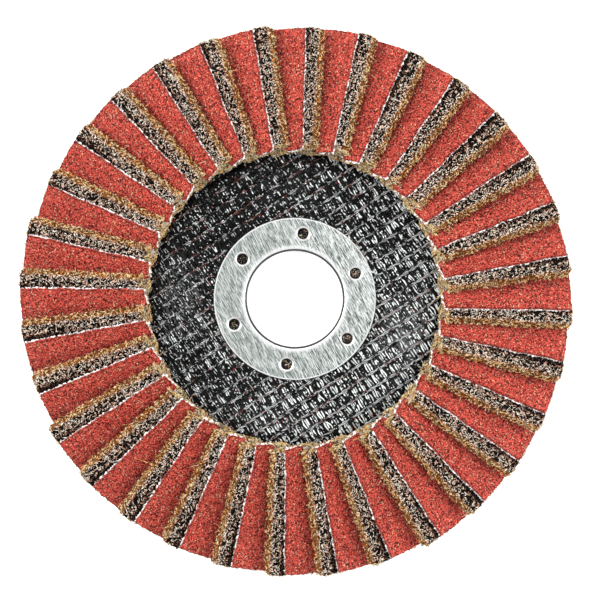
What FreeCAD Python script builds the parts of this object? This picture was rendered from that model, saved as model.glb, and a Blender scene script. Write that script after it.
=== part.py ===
"""Interleaved flap disc for an angle grinder: coated-abrasive flaps and non-woven flaps laid
alternately round a pressed glass-fibre backing plate with a clinched steel centre.

Millimetres. The origin is on the spindle axis, in the plane of the rear clamping face.
+Z points along the spindle axis from the grinder towards the work, so the flaps face up.
"""

import FreeCAD
import Part
import math
import os

Vector = FreeCAD.Vector
SPINDLE_AXIS = (Vector(0, 0, 0), Vector(0, 0, 1))

# ---- driving dimensions --------------------------------------------------------------------

disc_diameter = 125.0
bore_diameter = 22.23

# Backing plate: glass plies pressed into a dish with a raised hub at the back.
ply_count = 4
ply_thickness = 0.6
hub_corner_margin = 3.25  # from the larger ring to the corner where the riser starts
shoulder_corner_margin = 2.5  # from the corner where the riser ends to the flap pack
flange_slope = 10.0  # degrees; the flange falls away towards the rim
hub_bend_radius = 6.0  # on the rear face
shoulder_bend_radius = 2.5  # on the rear face
hub_bend_clearance = 0.3  # the hub stays flat this far past the larger ring
rim_clearance = 0.93  # rear of the plate's rim above the rear clamping plane
plate_overhang = 5.0  # how far the flaps reach past the plate

# Steel centre: a drawn eyelet clinched to a washer, with six stakes into the plies.
sheet_thickness = 0.6
front_ring_diameter = 37.5
rear_ring_diameter = 36.0
eyelet_edge_radius = 0.8
ring_rim_bevel = 0.12
clinch_flare = 0.45  # how far the eyelet's end is spread over the washer
hub_fit = 0.03  # radial clearance between the steel and the plies
stake_count = 6
stake_first_angle = 22.8  # degrees
stake_circle_offset = -0.07  # from the middle of the ring's flat
stake_hole_radius = 1.15
stake_wall = 0.4
stake_mouth_radius = 1.75
stake_mouth_depth = 0.35
plies_staked = 2

# Label glued to the back of the plate.
label_thickness = 0.15
label_rim_margin = 3.5
label_hub_gap = 0.6

# Adhesive bed that the flaps stand in.
bed_thickness = 1.5
bed_inset = 0.5  # from the pack's inner edge to the bed's
bed_rim_margin = 1.0

# Flaps. Each one is a strip twisted along its length, with its foot in the adhesive.
flap_pairs = 32
first_flap_angle = 90.0  # degrees; the flaps are numbered clockwise from here
pack_inner_radius = 33.5  # where the pack is tightest
foot_inset = 0.8  # how far inside that the flaps' feet start, along their lines
end_lean = 15.0  # degrees; both ends of a flap lean outwards
foot_lift = 0.5  # flap foot above the flange's front face
flap_twist = 6.0  # degrees less tilt at the rim than at the inner end
flap_skew = 1.0  # degrees that a flap's length is turned anticlockwise from its radial line
abrasive_width = 14.0
abrasive_thickness = 0.9
abrasive_edge_offset = 2.2  # free edge past the radial line at the inner end
web_width = 12.5
web_thickness_inner = 2.48
web_thickness_outer = 2.8
gap_over_web = 0.16  # between a non-woven flap and the abrasive flap that lies on it
gap_under_web = 0.32  # at the inner end, above the next abrasive flap

# ---- sizes worked out from those -------------------------------------------------------------

plate_thickness = ply_count * ply_thickness
plate_radius = disc_diameter / 2 - plate_overhang
plate_rear = sheet_thickness
hub_front = plate_rear + plate_thickness
eyelet_inner_radius = bore_diameter / 2
eyelet_outer_radius = eyelet_inner_radius + sheet_thickness
hub_hole_radius = eyelet_outer_radius + hub_fit
slope = math.radians(flange_slope)
largest_ring_radius = max(front_ring_diameter, rear_ring_diameter) / 2
hub_corner_radius = largest_ring_radius + hub_corner_margin
shoulder_corner_radius = pack_inner_radius - shoulder_corner_margin
shoulder_height = rim_clearance + (plate_radius - shoulder_corner_radius) * math.tan(slope)
riser_angle = math.atan2(shoulder_height - plate_rear, shoulder_corner_radius - hub_corner_radius)
hub_bend_room = (hub_corner_margin - hub_bend_clearance) / math.tan(riser_angle / 2)
hub_bend = min(hub_bend_radius, hub_bend_room)
bed_inner_radius = pack_inner_radius + bed_inset
foot_inner_distance = pack_inner_radius - foot_inset
ring_flat_inner_radius = eyelet_inner_radius + eyelet_edge_radius
ring_flat_outer_radius = front_ring_diameter / 2 - ring_rim_bevel
stake_circle_radius = (ring_flat_inner_radius + ring_flat_outer_radius) / 2 + stake_circle_offset


def polar(radius, angle_degrees, height=0.0):
    angle = math.radians(angle_degrees)
    return Vector(radius * math.cos(angle), radius * math.sin(angle), height)


def revolved(edges):
    """Turns a closed outline in the XZ plane once round the axis."""
    return Part.Face(Part.Wire(edges)).revolve(*SPINDLE_AXIS, 360)


def outline(points):
    """Straight edges joining (radius, height) points in a closed loop."""
    corners = [Vector(radius, 0, height) for radius, height in points]
    return [Part.LineSegment(a, b).toShape() for a, b in zip(corners, corners[1:] + corners[:1])]


# ---- the dish --------------------------------------------------------------------------------


def flange_height(radius, offset):
    """Height of the flange's face that lies this offset in front of the plate's rear face."""
    corner_height = shoulder_height + offset / math.cos(slope)
    return corner_height - (radius - shoulder_corner_radius) * math.tan(slope)


def dish_curve(offset, start_radius, end_radius):
    """The dish's section at an offset in front of its rear face: hub, bend, riser, bend, flange.

    The start has to lie on the hub's flat part or on the flange.
    """
    if start_radius > shoulder_corner_radius + shoulder_bend_radius:
        return [
            Part.LineSegment(
                Vector(start_radius, 0, flange_height(start_radius, offset)),
                Vector(end_radius, 0, flange_height(end_radius, offset)),
            ).toShape()
        ]
    # The hub bend's centre is in front of the plate and the shoulder bend's behind it.
    hub_centre = Vector(
        hub_corner_radius - hub_bend * math.tan(riser_angle / 2), 0, plate_rear + hub_bend
    )
    turn = riser_angle + slope
    setback = shoulder_bend_radius * math.tan(turn / 2)
    shoulder_start = Vector(
        shoulder_corner_radius - setback * math.cos(riser_angle),
        0,
        shoulder_height - setback * math.sin(riser_angle),
    )
    riser_normal = Vector(-math.sin(riser_angle), 0, math.cos(riser_angle))
    shoulder_centre = shoulder_start - riser_normal * shoulder_bend_radius

    def on_hub_bend(angle):
        way = Vector(math.sin(angle), 0, -math.cos(angle))
        return hub_centre + way * (hub_bend - offset)

    def on_shoulder_bend(angle):
        way = Vector(-math.sin(angle), 0, math.cos(angle))
        return shoulder_centre + way * (shoulder_bend_radius + offset)

    hub_start = Vector(start_radius, 0, plate_rear + offset)
    rim = Vector(end_radius, 0, flange_height(end_radius, offset))
    return [
        Part.LineSegment(hub_start, on_hub_bend(0)).toShape(),
        Part.Arc(on_hub_bend(0), on_hub_bend(riser_angle / 2), on_hub_bend(riser_angle)).toShape(),
        Part.LineSegment(on_hub_bend(riser_angle), on_shoulder_bend(riser_angle)).toShape(),
        Part.Arc(
            on_shoulder_bend(riser_angle),
            on_shoulder_bend((riser_angle - slope) / 2),
            on_shoulder_bend(-slope),
        ).toShape(),
        Part.LineSegment(on_shoulder_bend(-slope), rim).toShape(),
    ]


def dish_layer(rear_offset, front_offset, start_radius, end_radius):
    """A layer of the dish between two offsets, as a solid."""
    rear = dish_curve(rear_offset, start_radius, end_radius)
    front = dish_curve(front_offset, start_radius, end_radius)
    ends = [
        Part.LineSegment(rear[-1].Vertexes[-1].Point, front[-1].Vertexes[-1].Point).toShape(),
        Part.LineSegment(rear[0].Vertexes[0].Point, front[0].Vertexes[0].Point).toShape(),
    ]
    return revolved(Part.__sortEdges__(rear + front + ends))


def stake_pillars(radius, bottom, top):
    """One cylinder for each stake, all in one compound."""
    pillars = []
    for number in range(stake_count):
        angle = stake_first_angle + number * 360 / stake_count
        place = polar(stake_circle_radius, angle, bottom)
        pillars.append(Part.makeCylinder(radius, top - bottom, place))
    return Part.makeCompound(pillars)


stake_outer_radius = stake_hole_radius + stake_wall
stake_bottom = hub_front - plies_staked * ply_thickness


def glass_ply(number):
    """Ply 1 is the rearmost. The front plies are pierced by the stakes."""
    rear_offset = (number - 1) * ply_thickness
    ply = dish_layer(rear_offset, rear_offset + ply_thickness, hub_hole_radius, plate_radius)
    if number > ply_count - plies_staked:
        ply = ply.cut(stake_pillars(stake_outer_radius + hub_fit, plate_rear, hub_front + ply_thickness))
    return ply


# ---- the steel centre ------------------------------------------------------------------------


def front_ring():
    """Drawn eyelet: a flange on the hub's front, a collar through the bore, and six stakes."""
    top = hub_front + sheet_thickness
    rim = front_ring_diameter / 2
    bend = eyelet_edge_radius
    bend_middle = bend * (1 - math.sqrt(0.5))
    edge = Part.Arc(
        Vector(eyelet_inner_radius, 0, top - bend),
        Vector(eyelet_inner_radius + bend_middle, 0, top - bend_middle),
        Vector(eyelet_inner_radius + bend, 0, top),
    ).toShape()
    points = [
        (eyelet_inner_radius + bend, top),
        (rim - ring_rim_bevel, top),
        (rim, top - ring_rim_bevel),
        (rim, hub_front),
        (eyelet_outer_radius, hub_front),
        (eyelet_outer_radius, clinch_flare),
        (eyelet_outer_radius + clinch_flare, 0),
        (eyelet_inner_radius + clinch_flare, 0),
        (eyelet_inner_radius, clinch_flare),
        (eyelet_inner_radius, top - bend),
    ]
    ring = revolved(outline(points)[:-1] + [edge])
    ring = ring.fuse(stake_pillars(stake_outer_radius, stake_bottom, hub_front))
    ring = ring.cut(stake_pillars(stake_hole_radius, stake_bottom, top))
    for number in range(stake_count):
        angle = stake_first_angle + number * 360 / stake_count
        mouth = Part.makeCone(
            stake_hole_radius,
            stake_mouth_radius,
            stake_mouth_depth,
            polar(stake_circle_radius, angle, top - stake_mouth_depth),
        )
        ring = ring.cut(mouth)
    return ring.removeSplitter()


def rear_ring():
    """Washer behind the hub, with a seat for the eyelet's spread end."""
    rim = rear_ring_diameter / 2
    inner = eyelet_outer_radius + hub_fit
    points = [
        (inner + clinch_flare, 0),
        (rim, 0),
        (rim, sheet_thickness),
        (inner, sheet_thickness),
        (inner, clinch_flare),
    ]
    return revolved(outline(points))


def rear_label():
    start = rear_ring_diameter / 2 + label_hub_gap
    return dish_layer(-label_thickness, 0, start, plate_radius - label_rim_margin)


# ---- the flaps -------------------------------------------------------------------------------

lean = math.radians(end_lean)
pack_pitch = 2 * math.pi * pack_inner_radius / flap_pairs
inner_stack = abrasive_thickness + web_thickness_inner + gap_over_web + gap_under_web
# The pack can only be as flat as its layers allow, which sets the tilt at the inner end.
inner_tilt = math.asin(inner_stack / pack_pitch)
outer_tilt = inner_tilt - math.radians(flap_twist)


def foot_outer_distance(foot_offset, width, thickness):
    """Foot's far end, placed so that the front free corner just reaches the disc's diameter."""
    corner_rise = width * math.sin(outer_tilt) + thickness * math.cos(outer_tilt)
    corner_offset = foot_offset + width * math.cos(outer_tilt) - thickness * math.sin(outer_tilt)
    reach = math.sqrt((disc_diameter / 2) ** 2 - corner_offset**2)
    return reach - corner_rise * math.sin(lean)


def flap(line_angle, foot_offset, width, inner_thickness, outer_thickness, outer_distance):
    """A twisted strip between a tilted rectangle at each end.

    Its length follows a line from the axis at line_angle. Offsets run clockwise from that line,
    and so does the rise from the foot to the free edge.
    """
    radial = polar(1, line_angle)
    clockwise = polar(1, line_angle - 90)
    up = radial * math.sin(lean) + Vector(0, 0, math.cos(lean))

    def end_section(distance, tilt, thickness):
        height = flange_height(distance, plate_thickness) + foot_lift
        foot = radial * distance + clockwise * foot_offset + Vector(0, 0, height)
        across = clockwise * math.cos(tilt) + up * math.sin(tilt)
        through = up * math.cos(tilt) - clockwise * math.sin(tilt)
        corners = [foot, foot + across * width]
        corners += [corners[1] + through * thickness, foot + through * thickness]
        return Part.makePolygon(corners + corners[:1])

    inner = end_section(foot_inner_distance, inner_tilt, inner_thickness)
    outer = end_section(outer_distance, outer_tilt, outer_thickness)
    return Part.makeLoft([inner, outer], True, True)


skew = math.radians(flap_skew)
abrasive_foot_offset = abrasive_edge_offset - abrasive_width * math.cos(inner_tilt)
abrasive_foot_offset += foot_inner_distance * skew
abrasive_outer_distance = foot_outer_distance(abrasive_foot_offset, abrasive_width, abrasive_thickness)
# A non-woven flap's foot sits this far clockwise of the abrasive flap that lies on it.
web_shift_inner = (web_thickness_inner + gap_over_web) / math.sin(inner_tilt)
web_shift_outer = (web_thickness_outer + gap_over_web) / math.sin(outer_tilt)
web_turn = (web_shift_outer - web_shift_inner) / (abrasive_outer_distance - foot_inner_distance)
web_foot_offset = abrasive_foot_offset + web_shift_inner - foot_inner_distance * web_turn
web_outer_distance = foot_outer_distance(web_foot_offset, web_width, web_thickness_outer)


def abrasive_flap(number):
    angle = first_flap_angle - number * 360 / flap_pairs + flap_skew
    return flap(
        angle,
        abrasive_foot_offset,
        abrasive_width,
        abrasive_thickness,
        abrasive_thickness,
        abrasive_outer_distance,
    )


def nonwoven_flap(number):
    angle = first_flap_angle - number * 360 / flap_pairs + flap_skew - math.degrees(web_turn)
    return flap(
        angle,
        web_foot_offset,
        web_width,
        web_thickness_inner,
        web_thickness_outer,
        web_outer_distance,
    )


def adhesive_bed(flaps):
    """Cured adhesive on the flange, with a slot where each flap's foot stands in it."""
    front = plate_thickness + bed_thickness
    bed = dish_layer(plate_thickness, front, bed_inner_radius, plate_radius - bed_rim_margin)
    return bed.cut(flaps)


# ---- build -----------------------------------------------------------------------------------


def main():
    abrasive_flaps = [abrasive_flap(number) for number in range(flap_pairs)]
    nonwoven_flaps = [nonwoven_flap(number) for number in range(flap_pairs)]
    parts = {
        "front_ring": front_ring(),
        "rear_ring": rear_ring(),
        "rear_label": rear_label(),
        "adhesive_bed": adhesive_bed(abrasive_flaps + nonwoven_flaps),
    }
    for number in range(1, ply_count + 1):
        parts[f"glass_ply_{number}"] = glass_ply(number)
    for number, shape in enumerate(abrasive_flaps, start=1):
        parts[f"abrasive_flap_{number:02d}"] = shape
    # Two neighbouring non-woven flaps share a node.
    for number in range(0, flap_pairs, 2):
        pair = nonwoven_flaps[number : number + 2]
        parts[f"nonwoven_flaps_{number + 1:02d}_{number + len(pair):02d}"] = Part.makeCompound(pair)
    os.makedirs("parts", exist_ok=True)
    for name, shape in parts.items():
        shape.exportStep(f"parts/{name}.step")


main()
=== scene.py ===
import math

import bpy
import numpy as np
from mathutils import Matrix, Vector


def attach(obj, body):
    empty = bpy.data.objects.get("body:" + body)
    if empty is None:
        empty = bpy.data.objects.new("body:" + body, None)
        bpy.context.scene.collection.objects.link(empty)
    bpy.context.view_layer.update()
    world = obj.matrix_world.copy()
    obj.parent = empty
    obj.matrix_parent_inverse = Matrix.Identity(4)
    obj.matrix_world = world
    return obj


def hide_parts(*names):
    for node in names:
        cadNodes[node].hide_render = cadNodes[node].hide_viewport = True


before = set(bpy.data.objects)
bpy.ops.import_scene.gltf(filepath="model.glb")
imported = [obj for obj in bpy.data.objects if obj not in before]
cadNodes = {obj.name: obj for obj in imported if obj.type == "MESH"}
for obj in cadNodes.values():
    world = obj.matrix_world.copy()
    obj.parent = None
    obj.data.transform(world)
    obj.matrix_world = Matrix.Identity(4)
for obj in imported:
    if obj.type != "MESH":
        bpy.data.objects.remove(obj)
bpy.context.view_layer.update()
mm = 0.001
join = np.concatenate
print("frame loaded:", len(cadNodes), "nodes")


# shader sums
def operator(name, swapped=False):
    # the Math node of that name, on a wire and what stands beside it
    return lambda wire, other: wire.maths(name, *((other, wire) if swapped else (wire, other)))


class Wire:
    # A node's output in ordinary arithmetic. Each operator adds one Math node to its material.
    def __init__(self, finish, socket):
        self.finish, self.socket = finish, socket

    def maths(self, name, *values):
        return self.finish.node("Math", {"operation": name}, dict(enumerate(values)))

    __add__ = __radd__ = operator("ADD")
    __mul__ = __rmul__ = operator("MULTIPLY")
    __sub__, __rsub__ = operator("SUBTRACT"), operator("SUBTRACT", True)
    __pow__, __gt__ = operator("POWER"), operator("GREATER_THAN")


class Finish:
    # One material. node() adds any node but an operator's.
    def __init__(self, name, **fixed):
        self.material = bpy.data.materials.new(name)
        self.material.use_nodes = True
        self.tree = self.material.node_tree
        self.tree.nodes.clear()
        self.where = self.node("TexCoord", out="Object")
        self.shader = self.tree.nodes.new("ShaderNodeBsdfPrincipled")
        output = self.tree.nodes.new("ShaderNodeOutputMaterial")
        self.tree.links.new(self.shader.outputs[0], output.inputs[0])
        for name, value in fixed.items():
            self.shader.inputs[name.replace("_", " ")].default_value = value

    def node(self, kind, settings=None, sockets=None, out=0):
        # sockets: name or number, and the wire joined to it or the value it is set to. stops: a ramp's places and colours.
        made = self.tree.nodes.new("ShaderNode" + kind)
        for name, value in (settings or {}).items():
            if name == "stops":
                ramp = made.color_ramp
                while len(ramp.elements) < len(value):
                    ramp.elements.new(1)
                for element, (at, colour) in zip(ramp.elements, value):
                    element.position, element.color = at, colour
            else:
                setattr(made, name, value)
        for name, value in (sockets or {}).items():
            if isinstance(value, Wire):
                self.tree.links.new(value.socket, made.inputs[name])
            else:
                made.inputs[name].default_value = value
        return Wire(self, made.outputs[out])

    def dress(self, base, rough=None, normal=None):
        # what varies over the surface goes into the shader
        for name, wire in (("Base Color", base), ("Roughness", rough), ("Normal", normal)):
            if wire is not None:
                self.tree.links.new(wire.socket, self.shader.inputs[name])
        return self

    def turned(self, angle=0.0, stretch=(1, 1, 1)):
        # object coordinates turned about z by an angle in degrees, then stretched
        turn = self.node("Mapping", {"vector_type": "POINT"},
                         {"Vector": self.where, "Rotation": (0, 0, math.radians(-angle))})
        return self.node("VectorMath", {"operation": "MULTIPLY"}, {0: turn, 1: stretch})

    def axis(self, number, where=None):
        # 0, 1 or 2 for x, y or z
        return self.node("SeparateXYZ", None, {0: where or self.where}, number)

    def mark(self, name):
        # a value kept at the mesh's points
        return self.node("Attribute", {"attribute_name": name}, out="Fac")

    def noise(self, size, detail=2.0, rough=0.5, where=None):
        # size is how far apart the lumps are, in millimetres
        sockets = {"Vector": where or self.where, "Scale": 1 / (size * mm), "Detail": detail, "Roughness": rough}
        return self.node("TexNoise", {"noise_dimensions": "3D"}, sockets)

    def grains(self, size, out="Color"):
        # a random colour for each cell, about size millimetres across, or how far its middle is
        return self.node("TexVoronoi", {"feature": "F1"}, {"Vector": self.where, "Scale": 1 / (size * mm)}, out)

    def part(self, colour, channel):
        # 0, 1 or 2 for red, green or blue
        return self.node("SeparateColor", None, {0: colour}, channel)

    def ease(self, value, low, high, to=(0.0, 1.0)):
        # value taken smoothly from low..high to the range `to`, and held there outside
        return self.node("MapRange", {"interpolation_type": "SMOOTHSTEP"}, {0: value, 1: low, 2: high, 3: to[0], 4: to[1]})

    def mix(self, share, first, second):
        # first and second: wires, light, or colours as they look, which are three numbers
        first, second = [rgb(*c) if isinstance(c, tuple) and len(c) == 3 else c for c in (first, second)]
        return self.node("Mix", {"data_type": "RGBA", "clamp_factor": True}, {0: share, 6: first, 7: second}, 2)

    def cover(self, base, colour, value, low, high, to=(0.0, 1.0)):
        # base under a colour, which counts by as much as the eased value
        return self.mix(self.ease(value, low, high, to), base, colour)

    def ramp(self, value, *stops):
        # evenly from one stop's colour to the next; a stop is a value and a colour as it looks
        return self.node("ValToRGB", {"stops": [(at, rgb(*colour)) for at, colour in stops]}, {0: value})

    def bump(self, height, depth, strength=1.0, onto=None):
        # height 0..1 becomes a relief of depth millimetres
        sockets = {"Height": height, "Distance": depth * mm, "Strength": strength}
        if onto:
            sockets["Normal"] = onto
        return self.node("Bump", None, sockets, "Normal")


def rgb(red, green, blue):
    # a colour as it looks, 0 to 255, turned to light
    return tuple((c / 255 / 12.92 if c <= 10 else ((c / 255 + 0.055) / 1.055) ** 2.4) for c in (red, green, blue)) + (1.0,)


# mesh making
def intoScene(name, data):
    made = bpy.data.objects.new(name, data)
    bpy.context.scene.collection.objects.link(made)
    return made


def makePiece(name, points, groups, finishes, stands=(), marks=None, bakeMap=None):
    # points in millimetres, n by 3. groups: (faces as rows of point numbers, number of the finish, smooth or not).
    mesh = bpy.data.meshes.new(name)
    corners = join([faces.ravel() for faces, _, _ in groups]).astype(np.int32)
    sizes, numbers, smooth = join([np.tile([[faces.shape[1]], [number], [s]], len(faces)) for faces, number, s in groups], 1)
    mesh.vertices.add(len(points))
    mesh.vertices.foreach_set("co", (np.asarray(points) * mm).astype(np.float32).ravel())
    mesh.loops.add(len(corners))
    mesh.loops.foreach_set("vertex_index", corners)
    mesh.polygons.add(len(sizes))
    mesh.polygons.foreach_set("loop_start", join([[0], np.cumsum(sizes)[:-1]]).astype(np.int32))
    mesh.polygons.foreach_set("material_index", numbers.astype(np.int32))
    mesh.polygons.foreach_set("use_smooth", smooth.astype(bool))
    for key, values in (marks or {}).items():
        mesh.attributes.new(key, "FLOAT", "POINT").data.foreach_set("value", values.astype(np.float32))
    if bakeMap is not None:
        mesh.uv_layers.new(name="OFBake").uv.foreach_set("vector", bakeMap[corners].astype(np.float32).ravel())
    mesh.update(calc_edges=True)
    mesh.validate()
    for finish in finishes:
        mesh.materials.append(finish.material)
    piece = intoScene(name, mesh)
    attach(piece, "root")
    if stands:
        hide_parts(*stands)


def unit(v):
    # each row over its own length
    return v / np.maximum(np.linalg.norm(v, axis=-1, keepdims=True), 1e-12)


def gridFaces(rows, columns, start=0, closed=False):
    # quads of a rows by columns grid of points, numbered row by row; closed joins the last column to the first
    r, c = np.meshgrid(np.arange(rows - 1), np.arange(columns - (not closed)), indexing="ij")
    n = (c + 1) % columns
    return np.stack([r * columns + c, r * columns + n, (r + 1) * columns + n, (r + 1) * columns + c], -1).reshape(-1, 4) + start


hairStations, hairSides = 4, 3  # along a hair, its two tips among them, and round it
hairSteps = np.linspace(0, 1, hairStations)


def strands(paths, radius, side):
    # A bundle of closed hairs. paths: hairs by stations by 3; radius: hairs by stations. Ring k of a hair is its station
    # plus radius times (cos t, sin t) in the plane across its tangent; the first and last stations are its pointed tips.
    hairs = len(paths)
    along = unit(np.gradient(paths, axis=1))
    across = unit(np.cross(along, side))
    through = np.cross(across, along)
    t = np.arange(hairSides) * 2 * math.pi / hairSides
    ring = across[:, :, None] * np.cos(t)[:, None] + through[:, :, None] * np.sin(t)[:, None]
    rings = (paths[:, :, None] + radius[:, :, None, None] * ring)[:, 1:-1]
    each = (hairStations - 2) * hairSides + 2
    points = join([paths[:, :1], rings.reshape(hairs, -1, 3), paths[:, -1:]], 1)
    first = np.arange(hairSides)
    tip = np.stack([np.zeros(hairSides, int), 1 + (first + 1) % hairSides, 1 + first], 1)
    last = (hairStations - 3) * hairSides + 1
    tail = np.stack([np.full(hairSides, each - 1), last + first, last + (first + 1) % hairSides], 1)
    body = gridFaces(hairStations - 2, hairSides, 1, True)
    start = (np.arange(hairs) * each)[:, None, None]
    fans = (join([tip, tail])[None] + start).reshape(-1, 3)
    quads = (body[None] + start).reshape(-1, 4)
    return points.reshape(-1, 3), quads, fans, each


def bowed(start, way, bend, length, s=hairSteps):
    # hairs' paths: start + length * (way * s + bend * s^2)
    return start[:, None] + (way[:, None] * s[:, None] + bend[:, None] * (s ** 2)[:, None]) * length.reshape(-1, 1, 1)


def hairMap(hairs, low, high):
    # each hair has its own cell of the map's box low..high: its length runs one way and its girth the other
    wide = int(math.ceil(math.sqrt(hairs)))
    cell = (np.array(high) - low) / wide
    at = np.stack([np.arange(hairs) % wide, np.arange(hairs) // wide], 1) * cell + low
    long = np.repeat(np.arange(1, hairStations - 1), hairSides) / (hairStations - 1)
    girth = np.tile(np.arange(hairSides), hairStations - 2) / (hairSides - 0.5)
    inside = join([[[0.5, 0.05]], np.stack([0.1 + 0.8 * girth, 0.05 + 0.9 * long], 1), [[0.5, 0.95]]])
    return (at[:, None] + inside[None] * cell).reshape(-1, 2)


def rise(value, start, over, low=0.0):
    # low up to start, then evenly up to 1 over a distance
    return np.clip((value - start) / over, low, 1)


def drift(x, rng, size, waves=5, shortest=2.0, longest=14.0):
    # a slow wander along x: a sum of sines of random length and phase, about size millimetres high
    length = rng.uniform(shortest, longest, waves)
    phase = rng.uniform(0, 2 * math.pi, waves)
    return size * np.sin(x[..., None] * 2 * math.pi / length + phase).sum(-1) / math.sqrt(waves)


def lumps(shape, rng, reach):
    # random heights, 0 in the middle and about 1 high, softened over `reach` grid steps both ways
    field = rng.normal(size=shape)
    for _ in range(reach):
        field = (field + np.roll(field, 1, 0) + np.roll(field, -1, 0) + np.roll(field, 1, 1) + np.roll(field, -1, 1)) / 5
    return field / field.std()


# where each flap lies
flapPose = {
    "tilt": 33,  # of a flap's face, degrees from level
    "lean": 15,  # of its length, degrees down towards the rim
}


def islands(points, triangles):
    # one number per point, the same for all points joined by triangles
    label = np.arange(len(points))
    while True:
        lowest = label[triangles].min(1)
        new = label.copy()
        np.minimum.at(new, triangles.ravel(), np.repeat(lowest, 3))
        if (new == label).all():
            return label
        label = new


def flapCorners(nodeName):
    # For each solid of a flap node, its 8 corners as [end][across][through][xyz]: inner end first, foot edge first and
    # lower face first. A corner is the point that lies furthest its own way at that end.
    mesh = cadNodes[nodeName].data
    co = np.empty(len(mesh.vertices) * 3, np.float32)
    mesh.vertices.foreach_get("co", co)
    mesh.calc_loop_triangles()
    tri = np.empty(len(mesh.loop_triangles) * 3, np.int32)
    mesh.loop_triangles.foreach_get("vertices", tri)
    points, same = np.unique(np.round(co.reshape(-1, 3) / mm, 4), axis=0, return_inverse=True)
    label = islands(points, same.ravel()[tri].reshape(-1, 3))
    tilt, lean = math.radians(flapPose["tilt"]), math.radians(flapPose["lean"])
    up = np.array([0.0, 0.0, 1.0])
    found = []
    for number in np.unique(label):
        p = points[label == number]
        middle = p.mean(0)
        out = unit(np.array([middle[0], middle[1], 0.0]))
        clockwise = np.array([out[1], -out[0], 0.0])
        across = clockwise * math.cos(tilt) + up * math.sin(tilt)
        through = up * math.cos(tilt) - clockwise * math.sin(tilt)
        line = out * math.cos(lean) - up * math.sin(lean)
        x, y, z = p @ line, p @ across, p @ through
        corners = np.array([[[p[np.argmax(e * 6 * x + a * y + t * 4 * z)] for t in (-1, 1)] for a in (-1, 1)] for e in (-1, 1)])
        bearing = math.degrees(math.atan2(middle[0], middle[1])) % 360
        found.append((bearing, corners))
    return [c for _, c in sorted(found, key=lambda f: f[0])]


class Flap:
    # A flap's own places, in millimetres: x from its inner end, y from its foot to its free edge, z through it.
    def __init__(self, corners, reach, wider):
        corners = corners.copy()
        over = unit((corners[:, 1] - corners[:, 0]).mean(1))
        corners[:, 1] += over[:, None] * np.array(wider)[:, None, None]  # free edge moved, inner and outer end
        self.corners, self.reach = corners, reach  # the outer end is trimmed to this radius about the axis
        edges = [corners[1] - corners[0], corners[:, 1] - corners[:, 0], corners[:, :, 1] - corners[:, :, 0]]
        self.length, self.width, self.thick = [np.linalg.norm(edge, axis=-1).mean() for edge in edges]
        self.out, self.over, self.up = [unit(edge.mean((0, 1))) for edge in edges]

    def place(self, p):
        # into the row frame: each corner counts by the product of its three shares. First x is stretched to the trim circle,
        # by (reach - radius of the untrimmed end) over the outward share of the flap's line.
        v, w = p[..., 1] / self.width, p[..., 2] / self.thick
        share = lambda s: np.stack([1 - s, s], -1)
        end = np.einsum("...j,jc->...c", share(v), self.corners[1].mean(1))
        radius = np.hypot(end[..., 0], end[..., 1])
        outward = (end[..., :2] * self.out[:2]).sum(-1) / radius
        u = p[..., 0] / self.length * (1 + (self.reach - radius) / outward / self.length)
        return np.einsum("...i,...j,...k,ijkc->...c", share(u), share(v), share(w), self.corners)


# finishes
weave = {
    "angle": 33.0,  # of the ridges, degrees from +x
    "litSide": -26.0,  # the side painted lighter, degrees from +x: painted light
    "warpPitch": 3.0,  # from ridge to ridge
    "weftPitch": 1.9,  # from bundle to bundle
    "inner": 18.6, "outer": 34.3,
    "threads": 3,  # in a bundle
    "threadGap": 0.5,
    "threadRadius": 0.21,
    "warpRadius": 0.17,
    "warpSway": 0.2,
}

stakes = {"count": 6, "first": 22.8, "circle": 15.2, "radius": 1.0, "floor": 1.9, "top": 3.1, "shreds": 46}

# where the eyelet's painted light and shade change: radii from the axis, distances from a stake's middle, and a height,
# each from..to
eyelet = {
    "lipShade": (11.45, 11.6), "lipHighlight": (11.8, 12.8), "outerLipHighlight": (18.35, 18.5),
    "pitShade": (1.25, 1.38), "collar": (1.63, 1.8), "front": (1.2, 1.3),
}


def redGrainFinish():
    # a cell for each grain with a red of its own, a few nearly black and a few pale, and slow patches over them
    f = Finish("red_grain", Roughness=0.7, Specular_IOR_Level=0.15)
    grain, fine = f.grains(0.22), f.noise(0.2, 3, 0.75)
    base = f.mix(f.ease(f.part(grain, 0), 0.1, 0.85), (40, 2, 1), (222, 92, 78))
    base = f.cover(base, (162, 48, 38), fine, 0.36, 0.66, (0.0, 0.12))
    base = f.cover(base, (140, 36, 28), f.noise(9, 2), 0.3, 0.7, (0.0, 0.15))
    base = f.mix((f.part(grain, 2) > 0.95) * 0.85, base, (44, 10, 8))
    base = f.mix((f.part(grain, 1) > 0.962) * 0.6, base, (240, 206, 168))
    depth = f.grains(0.27, "Distance")
    return f.dress(base, 0.5 + 0.35 * f.part(grain, 0), f.bump(1 - depth, 0.14, 1.0, f.bump(fine, 0.08, 0.8)))


def clothFinish():
    # white cotton, stained by the resin here and there; its relief is the product of two rows of bands
    f = Finish("cotton_cloth", Roughness=0.85, Specular_IOR_Level=0.2)
    bands = {"Vector": f.where, "Scale": 650.0, "Distortion": 1.5, "Detail": 1.0}
    warp, weft = [f.node("TexWave", {"wave_type": "BANDS", "bands_direction": way}, bands, "Fac") for way in "XY"]
    base = f.cover((255, 254, 252), (120, 56, 48), f.noise(0.6, 3, 0.65), 0.52, 0.59)
    return f.dress(base, None, f.bump(warp * weft, 0.08, 0.7))


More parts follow.
